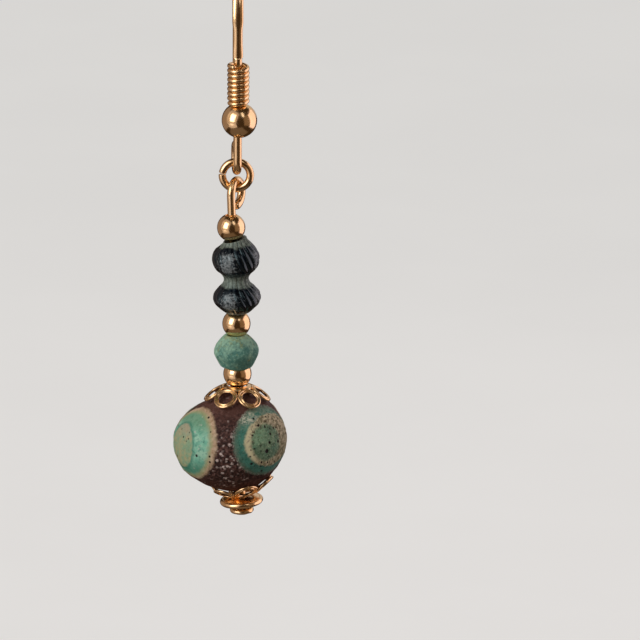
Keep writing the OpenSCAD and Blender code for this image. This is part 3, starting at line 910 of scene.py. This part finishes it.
class EyeShader(Shader):
    """The eye bead's nodes, with the noises that its glasses share and its rings' edges."""

    def __init__(self, finish):
        super().__init__("eye_glass")
        self.brown = tinted(finish.beige, 0.34, 0.27, 0.24)
        self.sand, self.fine = self.noise(0.17, 4, 0.7), self.noise(0.10, 3, 0.7)
        self.mottle = self.noise(0.24, 4, 0.7)
        self.height, self.side = self.mark("height"), self.mark("side")
        self.stray = self.scaled(self.noise(0.55, 4, 0.6), 0.17,
                                 self.scaled(self.noise(0.2, 3, 0.6), 0.07, -1.12))
        self.grain = self.scaled(self.mark("grain"), 0.42, self.noise(0.45, 3, 0.6))
        blots = self.scaled(self.noise(0.19, 3, 0.65), 0.9, self.grains(0.40))
        self.fleck = self.times(self.between(blots, 0.88, 0.66),
                                self.between(self.grain, 0.52, 0.80))

    def past(self, mark):
        """How far a point is past a ring's edge, which wanders a little, in the ring's size."""
        return self.sums("ADD", self.mark(mark), self.stray)

    def inside(self, mark, soft=0.045):
        """1 within a ring's edge."""
        return self.between(self.past(mark), soft, -soft)

    def near_edge(self, mark, width):
        """1 on a ring's edge, fading within this share of its size."""
        return self.between(self.sums("ABSOLUTE", self.past(mark)), width, width * 0.2)

    def holes(self, size, radius):
        """1 in small dark holes about this far apart, in about half of the places."""
        blots = self.scaled(self.fine, 0.3, self.grains(size))
        return self.times(self.between(blots, 0.15 + radius, 0.11 + radius * 0.6),
                          self.cloud(size * 2.2, 0.48, 0.54, 2))


def ground(s, finish):
    """Mauve above, black and grainy in the middle, reddish towards the foot."""
    brown, pale = finish.matrix, finish.matrix_pale
    grainy = s.between(s.grain, 0.36, 0.66)
    return s.laid(
        brown,
        (s.cloud(0.5, 0.38, 0.62, 5, 0.65), 1, pale, 0.62),
        (s.between(s.sand, 0.52, 0.40), 1, brown, 0.3),
        (s.between(s.height, 0.45, 0.85), 0.75, pale),
        (s.between(s.height, -0.45, -0.9), 0.6, pale, 1.0, 0.6, 0.4),
        (s.times(s.between(s.mottle, 0.50, 0.38), grainy), 0.75, BLACK),
        (s.times(s.between(s.mottle, 0.50, 0.64), grainy), 0.7, pale, 1.7, 2.1, 2.3),
        (s.times(s.fleck, s.cloud(0.4, 0.30, 0.58)), 1, finish.speck),
        (s.times(s.holes(0.36, 0.14), grainy), 0.7, BLACK))


def pale_eye(s, finish):
    """Sandy rim, bright ring, with painted shade round a greenish sandy middle and at its foot."""
    beige, mint, core = finish.beige, finish.mint, finish.pale_core
    rim = s.laid(
        beige,
        (s.between(s.sand, 0.48, 0.64), 1, beige, 0.66, 0.58, 0.5),
        (s.cloud(0.6, 0.46, 0.62, 4), 1, beige, 1.2, 1.25, 1.35),
        (s.cloud(1.1, 0.52, 0.66), 0.7, beige, 0.72, 0.86, 0.8),
        (s.near_edge("pale_middle", 0.18), 0.55, mint, 1.5, 0.9, 0.55),
        (s.holes(0.42, 0.10), 0.9, s.brown))
    ring = s.laid(
        tinted(mint, 1.0, 1.16, 1.16),
        (s.cloud(0.8, 0.38, 0.62, 5, 0.65), 1, mint, 1.9, 1.4, 1.45),
        (s.cloud(0.3, 0.50, 0.66, 4, 0.6), 0.75, mint, 0.5, 0.72, 0.72),
        # Painted shade: the ring is darker towards the bottom
        (s.between(s.height, -0.02, -0.42), 0.8, mint, 0.36, 0.58, 0.54),
        (s.between(s.height, 0.24, 0.5), 0.7, mint, 0.85, 0.74, 0.6),
        (s.cloud(0.33, 0.64, 0.70), 0.6, finish.speck, 0.9, 1.0, 1.0),
        (s.holes(0.7, 0.06), 0.9, mint, 0.2))
    middle = s.laid(
        core,
        (s.cloud(0.6, 0.38, 0.60, 5, 0.65), 1, core, 0.6, 0.98, 1.1),
        (s.between(s.height, 0.05, 0.42), 0.75, beige, 0.85, 1.0, 1.1),
        (s.between(s.sand, 0.54, 0.66), 0.5, core, 0.5))
    eye = s.mix(s.inside("pale_middle", 0.09), rim, ring)
    # Painted shade round the raised middle
    eye = s.laid(eye, (s.near_edge("pale_core", 0.22), 0.7, mint, 0.22, 0.5, 0.48))
    return s.mix(s.inside("pale_core", 0.06), eye, middle)


def deep_eye(s, finish):
    """Teal rim with a whitish crust, mottled sandy ring, green middle full of dark holes; ring and
    middle have painted light on their left and painted shade on their right and lower parts.
    """
    beige, teal, core, speck = finish.beige, finish.teal, finish.deep_core, finish.speck
    dusty = s.times(s.between(s.height, 0.36, 0.56), s.between(s.mottle, 0.42, 0.56))
    rim = s.laid(
        teal,
        (s.cloud(0.7, 0.34, 0.56, 5, 0.65), 1, teal, 2.0, 1.55, 1.5),
        (s.between(s.sand, 0.52, 0.66), 0.7, teal, 0.4, 0.35, 0.35),
        (s.between(s.fine, 0.58, 0.68), 0.6, speck, 0.5, 0.62, 0.5),
        (dusty, 0.75, speck, 0.42, 0.68, 0.52),
        (s.near_edge("deep_outer", 0.16), 0.6, speck, 0.17, 0.25, 0.18))
    # Painted shade: the ring darkens in blotches at its lower right
    low = s.times(s.between(s.side, -0.2, 0.15), s.between(s.height, 0.2, -0.02))
    stain = s.times(s.cloud(0.30, 0.46, 0.56, 3, 0.6), s.between(s.side, -0.5, -0.15))
    specked = s.times(s.between(s.mottle, 0.52, 0.62), s.between(s.side, -0.45, -0.1))
    ring = s.laid(
        tinted(beige, 1.2, 1.5, 1.5),
        (s.between(s.sand, 0.50, 0.66), 1, beige, 0.78, 0.88, 0.82),
        # Painted light on the ring's left, and painted shade towards its right
        (s.between(s.side, -0.25, -0.5), 0.85, beige, 1.4, 1.85, 1.8),
        (s.between(s.side, -0.1, 0.45), 0.6, beige, 0.85, 1.02, 1.0),
        (s.times(low, s.cloud(0.36, 0.44, 0.55, 4, 0.65)), 0.8, beige, 0.26, 0.42, 0.32),
        (stain, 0.8, beige, 0.20, 0.28, 0.20),
        (specked, 0.65, beige, 0.30, 0.38, 0.30),
        (s.holes(0.4, 0.12), 0.9, s.brown))
    # Painted light: the middle is lighter at its upper left
    lit = s.times(s.between(s.side, -0.05, -0.25), s.between(s.height, 0.06, 0.2))
    middle = s.laid(
        core,
        (s.cloud(0.6, 0.38, 0.60, 5, 0.7), 1, core, 0.42, 0.5, 0.5),
        (s.cloud(0.35, 0.50, 0.60, 4, 0.6), 0.8, core, 0.3, 0.6, 0.65),
        (lit, 0.6, core, 1.1, 1.3, 1.3),
        # Painted shade on the lower part of the middle
        (s.between(s.height, 0.12, -0.06), 0.6, core, 0.30, 0.46, 0.46),
        (s.holes(0.55, 0.3), 0.85, BLACK),
        (s.between(s.mottle, 0.50, 0.62), 0.8, core, 0.28, 0.36, 0.33),
        (s.between(s.fine, 0.52, 0.66), 0.7, core, 1.9, 1.6, 1.7))
    eye = s.mix(s.inside("deep_middle", 0.05), rim, ring)
    eye = s.mix(s.inside("deep_core", 0.14), eye, middle)
    pepper = s.times(s.cloud(0.26, 0.54, 0.62, 3, 0.6), s.between(s.height, 0.0, 0.35))
    sandy = s.times(s.between(s.side, 0.55, 0.85), s.between(s.sand, 0.40, 0.56))
    crust = s.times(s.between(s.mark("crust"), 0.1, 0.5), s.cloud(0.25, 0.48, 0.55, 4, 0.72))
    return s.laid(
        eye,
        (s.times(s.near_edge("deep_core", 0.36), pepper), 0.85, s.brown, 0.35, 0.38, 0.3),
        (sandy, 0.85, beige, 0.95, 1.25, 1.35),
        (crust, 0.9, speck, 0.95, 1.15, 1.0))


def eye_finish(finish):
    """Brown ground full of whitish grains, with rings of beige, mint and teal glass."""
    s = EyeShader(finish)
    tone = s.mix(s.inside("pale_outer"), ground(s, finish), pale_eye(s, finish))
    tone = s.mix(s.inside("deep_outer"), tone, deep_eye(s, finish))
    rim_grain = s.times(s.near_edge("deep_outer", 0.07), s.between(s.fine, 0.50, 0.62))
    tone = s.laid(
        tone, (rim_grain, 0.75, finish.speck, 0.6, 0.72, 0.68),
        (s.between(s.mark("pit"), 0.25, 0.75), 1, BLACK))
    rough = s.between(s.noise(0.3, 3), 0.3, 0.7, 0.5, 0.78, "LINEAR")
    grit = s.relief(s.sand, 0.05, Normal=s.relief(s.fleck, 0.03))
    return s.finish(Base_Color=tone, Roughness=rough, Normal=grit, Specular_IOR_Level=0.25)


def eye_marks(ways):
    """Where each direction from the bead's middle lies: in the rings, patches and pits.

    Gives the marks, and how deep the pits are. A pit is a round hollow, its depth times
    (1 - (d / radius)^2).
    """
    marks = {}
    for kind, eye in (("pale", PALE_EYE), ("deep", DEEP_EYE)):
        for ring, (azimuth, *shape) in zip(("outer", "middle", "core"), eye):
            marks[f"{kind}_{ring}"] = np.minimum(ring_place(ways, azimuth, *shape),
                                                 ring_place(ways, azimuth + AGAIN, *shape))
    rng = np.random.default_rng(7)
    strewn = np.column_stack([rng.uniform(*ends, STREWN_COUNT) for ends in STREWN])
    pit, sunk = np.zeros(ways.shape[:2]), np.zeros(ways.shape[:2])
    for azimuth, elevation, radius, depth in np.vstack([PITS, strewn]):
        off = EYE_R * np.linalg.norm(ways - heading(azimuth, elevation), axis=-1) / radius
        bowl = np.clip(1.15 - off ** 2, 0, 1)
        pit, sunk = np.maximum(pit, bowl), np.maximum(sunk, depth * bowl)
    marks["pit"] = pit
    marks["grain"] = np.clip(1.1 - ring_place(ways, 0, -10, 30, 40), 0, 1)
    marks["crust"] = np.clip(1.2 - ring_place(ways, 17, 38, 16, 8), 0, 1)
    # How high a point lies, and how far right of the deep eye's middle, in shares of 1: colours,
    # painted light and painted shade of the eyes follow both
    facing = DEEP_EYE[1][0]
    marks["height"] = ways[..., 2]
    marks["side"] = ways @ heading(facing + 90, 0) * np.sign(ways @ heading(facing, 0))
    return marks, sunk


class EARRING_OT_eye_bead(bpy.types.Operator):
    """Large round bead with four eyes"""
    bl_idname = "earring.eye_bead"
    bl_label = "Eye bead"

    def execute(self, context):
        shape, finish = context.scene.earring_beads, context.scene.earring_finishes
        rows, cols = 236, 350
        places = eased(EYE_ROWS, np.linspace(0, len(EYE_ROWS) - 1, rows))
        bore = BORE_R + BORE_PLAY
        z, r, share = places[places[:, 1] > bore + 0.05].T[..., None]
        offset = np.array([-BORE_OFF[0], BORE_OFF[1], 0])
        grid = rings(r, z, around(cols)) + share[..., None] * offset
        ways = (grid - offset) @ STEM_TURN.T
        ways /= np.linalg.norm(ways, axis=-1)[..., None]
        marks, sunk = eye_marks(ways)

        # The rings stand in low steps, and the whole surface is a little uneven
        rise = 0.030 * ripple(ways * EYE_R, 2.4, 31) + 0.012 * ripple(ways * EYE_R, 0.5, 32, 2)
        for mark, height in STEPS:
            rise += shape.eye_relief * height / (1 + np.exp((marks[mark] - 1) / 0.03))
        fade = np.clip(np.minimum(4.0 - z, 3.9 + z) / 0.6, 0, 1)
        grid += (ways @ STEM_TURN) * ((rise - EYE_INSET) * fade - sunk)[..., None]

        inner = np.array([(bore, z[-1, 0] + 0.3), (bore, 0), (bore, z[0, 0] - 0.3)])
        more = ((0, len(inner)), (0, 0))
        marks = {name: np.pad(values, more, constant_values=0 if name in PATCHES else 3)
                 for name, values in marks.items()}
        bead = on_stem(np.concatenate([grid, turned(inner, cols)]), EYE_AT)
        piece("eye_glass_bead", [bead], "drop", "eye_bead", eye_finish(finish),
              marks=marks)
        return {"FINISHED"}


# Caps

def petal_outline(shape):
    """A petal's closed section (radius, height): a flat back, and two round ridges in front."""
    hole, reach, top = shape.hole, shape.reach, CAP_T - 0.05
    inner = arc_points((hole + 0.07, top + shape.rim * 0.35), 0.07, 200, 0, 9)
    outer = arc_points((reach - 0.1, top - 0.02), 0.11, 150, -60, 11)
    outer[:, 0] = np.minimum(outer[:, 0], reach + 0.01)
    return np.vstack([inner, [(hole + 0.18, top + 0.015)], outer, [(reach - 0.12, 0)],
                      [(hole + 0.08, 0)]])


def cap_parts(shape, slopes):
    """The hub, a revolved band, and the petals, each a revolved section tilted by its slope."""
    drop = (HUB_R - HUB_BORE_R) * math.tan(math.radians(HUB_SLOPE))
    lip = arc_points((HUB_BORE_R + CAP_T / 2, CAP_T / 2), CAP_T / 2, 250, 70, 9)
    band = np.vstack([lip, [(HUB_R, CAP_T - drop), (HUB_R + 0.06, CAP_T / 2 - drop),
                            (HUB_R, -drop)]])
    parts = [turned(band, 96)]
    petal = turned(petal_outline(shape), 56)
    for k, slope in enumerate(slopes):
        fall = drop + (PETAL_AT - HUB_R) * math.tan(math.radians(slope))
        one = placed(petal, turn(Y, slope), (PETAL_AT, 0, -fall))
        parts.append(placed(one, turn(Z, 360 / len(slopes) * k)))
    return parts


class EARRING_OT_caps(bpy.types.Operator):
    """Two pierced caps of six petals"""
    bl_idname = "earring.caps"
    bl_label = "Bead caps"

    def execute(self, context):
        shape, finish = context.scene.earring_caps, context.scene.earring_finishes
        gold = gold_finish("cap_gold", finish, 1.1, 0.003, 0.7)
        # The upper cap's hub sits on the lower gold bead
        reach = GOLD_D / 2 + 1.5 * SEAT_GAP
        seat = math.sqrt(reach ** 2 - HUB_BORE_R ** 2) + CAP_T
        upper = cap_parts(shape, [SLOPE_TOP] * len(PETAL_BENDS))
        upper = [on_stem(placed(part - (0, 0, seat), CAP_TOP_TURN), GOLD_AT[2], GOLD_SHIFTS[2])
                 for part in upper]
        piece("petal_cap_top", upper, "drop", "cap_top", gold)
        lower = cap_parts(shape, [SLOPE_BOTTOM + bend for bend in PETAL_BENDS])
        lower = [on_stem(placed(part * (1, 1, -1), CAP_BOTTOM_TURN), EYE_AT + CAP_BOTTOM_AT,
                         CAP_BOTTOM_SHIFT) for part in lower]
        piece("petal_cap_bottom", lower, "drop", "cap_bottom", gold)
        return {"FINISHED"}


# Stage

def panel(name, azimuth, elevation, wide, high, away, radiance, tint):
    """A rectangular light seen from the beads under these angles, facing them.

    Its sides are twice the distance times the tangent of half their angle, and its power is pi
    times its area times the radiance.
    """
    data = bpy.data.lights.new(name, "AREA")
    data.shape = "RECTANGLE"
    data.size, data.size_y = (2 * away * MM * math.tan(math.radians(v) / 2) for v in (wide, high))
    data.energy = math.pi * data.size * data.size_y * radiance
    data.color = tint
    made = linked(name, data)
    way = mathutils.Vector(heading(azimuth, elevation))
    made.location = (mathutils.Vector(STAGE_MIDDLE) + way * away) * MM
    made.rotation_euler = (-way).to_track_quat("-Z", "Y").to_euler()
    made.visible_camera = False


class EARRING_OT_stage(bpy.types.Operator):
    """Floor, lights, world and camera"""
    bl_idname = "earring.stage"
    bl_label = "Stage"

    def execute(self, context):
        setup, scene = context.scene.earring_stage, context.scene
        # Camera: where it looks, its distance and its turns are those of the photograph
        yaw, tilt, roll = CAMERA_TURNS
        axes = turn(Z, -yaw) @ turn(X, 90 - tilt) @ turn(Z, roll)
        place = (LOOK_AT + CAMERA_AWAY * axes[:, 2]) * MM
        camera = linked("camera", bpy.data.cameras.new("camera"))
        camera.matrix_world = mathutils.Matrix.Translation(place) @ mathutils.Matrix(axes).to_4x4()
        camera.data.sensor_width = SENSOR_W
        camera.data.lens = SENSOR_W * CAMERA_AWAY / VIEW_WIDTH
        camera.data.clip_start, camera.data.clip_end = 0.01, 20
        scene.camera = camera

        # Floor: a square a few metres wide, seen by the camera and not mirrored in the gold
        mesh = bpy.data.meshes.new("floor")
        w, low = FLOOR_HALF, FLOOR_AT * MM
        mesh.from_pydata([(-w, -w, low), (w, -w, low), (w, w, low), (-w, w, low)], [],
                         [(0, 1, 2, 3)])
        floor = linked("floor", mesh)
        # It mostly glows, so that the far edge of the panels' light doesn't show on it
        s = Shader("floor_paper")
        grain = s.mix(s.cloud(30, 0.3, 0.7), setup.floor, tinted(setup.floor, 0.985))
        mesh.materials.append(s.finish(Base_Color=(*tinted(setup.floor, 0.4), 1), Roughness=0.9,
                                       Emission_Color=grain, Emission_Strength=setup.glow))
        floor.visible_glossy = floor.visible_diffuse = False

        # Lights: flat panels that face the beads, in a dim room
        for name, part, *look, radiance, tint in PANELS:
            panel(name, *look, radiance * getattr(setup, part), tint)
        world = bpy.data.worlds.new("dim_room")
        scene.world = world
        world.use_nodes = True
        background = world.node_tree.nodes["Background"].inputs
        background["Color"].default_value = (*ROOM_TINT, 1)
        background["Strength"].default_value = ROOM_LIGHT
        scene.view_settings.view_transform = "Standard"
        return {"FINISHED"}


# Add-on

GROUPS = {"earring_wires": WireSizes, "earring_beads": BeadShapes, "earring_caps": CapShapes,
          "earring_finishes": Finishes, "earring_stage": StageSetup}
OPERATORS = (EARRING_OT_hook, EARRING_OT_ring_and_pin, EARRING_OT_gold_beads,
             EARRING_OT_melon_bead, EARRING_OT_turquoise_bead, EARRING_OT_eye_bead,
             EARRING_OT_caps, EARRING_OT_stage)


class EARRING_PT_panel(bpy.types.Panel):
    """Sizes, colours and steps of the earring"""
    bl_label = "Earring"
    bl_idname = "EARRING_PT_panel"
    bl_space_type = "VIEW_3D"
    bl_region_type = "UI"
    bl_category = "Earring"

    def draw(self, context):
        for key, group in GROUPS.items():
            box = self.layout.box()
            for name in group.__annotations__:
                box.prop(getattr(context.scene, key), name)
        for operator in OPERATORS:
            self.layout.operator(operator.bl_idname)


CLASSES = (*GROUPS.values(), *OPERATORS, EARRING_PT_panel)


def register():
    for made in CLASSES:
        bpy.utils.register_class(made)
    for key, group in GROUPS.items():
        setattr(bpy.types.Scene, key, bpy.props.PointerProperty(type=group))


def unregister():
    for key in GROUPS:
        delattr(bpy.types.Scene, key)
    for made in reversed(CLASSES):
        bpy.utils.unregister_class(made)


def main():
    """Registers the add-on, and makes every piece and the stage."""
    register()
    bpy.ops.earring.hook()
    bpy.ops.earring.ring_and_pin()
    bpy.ops.earring.gold_beads()
    bpy.ops.earring.melon_bead()
    bpy.ops.earring.turquoise_bead()
    bpy.ops.earring.eye_bead()
    bpy.ops.earring.caps()
    bpy.ops.earring.stage()


if __name__ == "__main__":
    main()
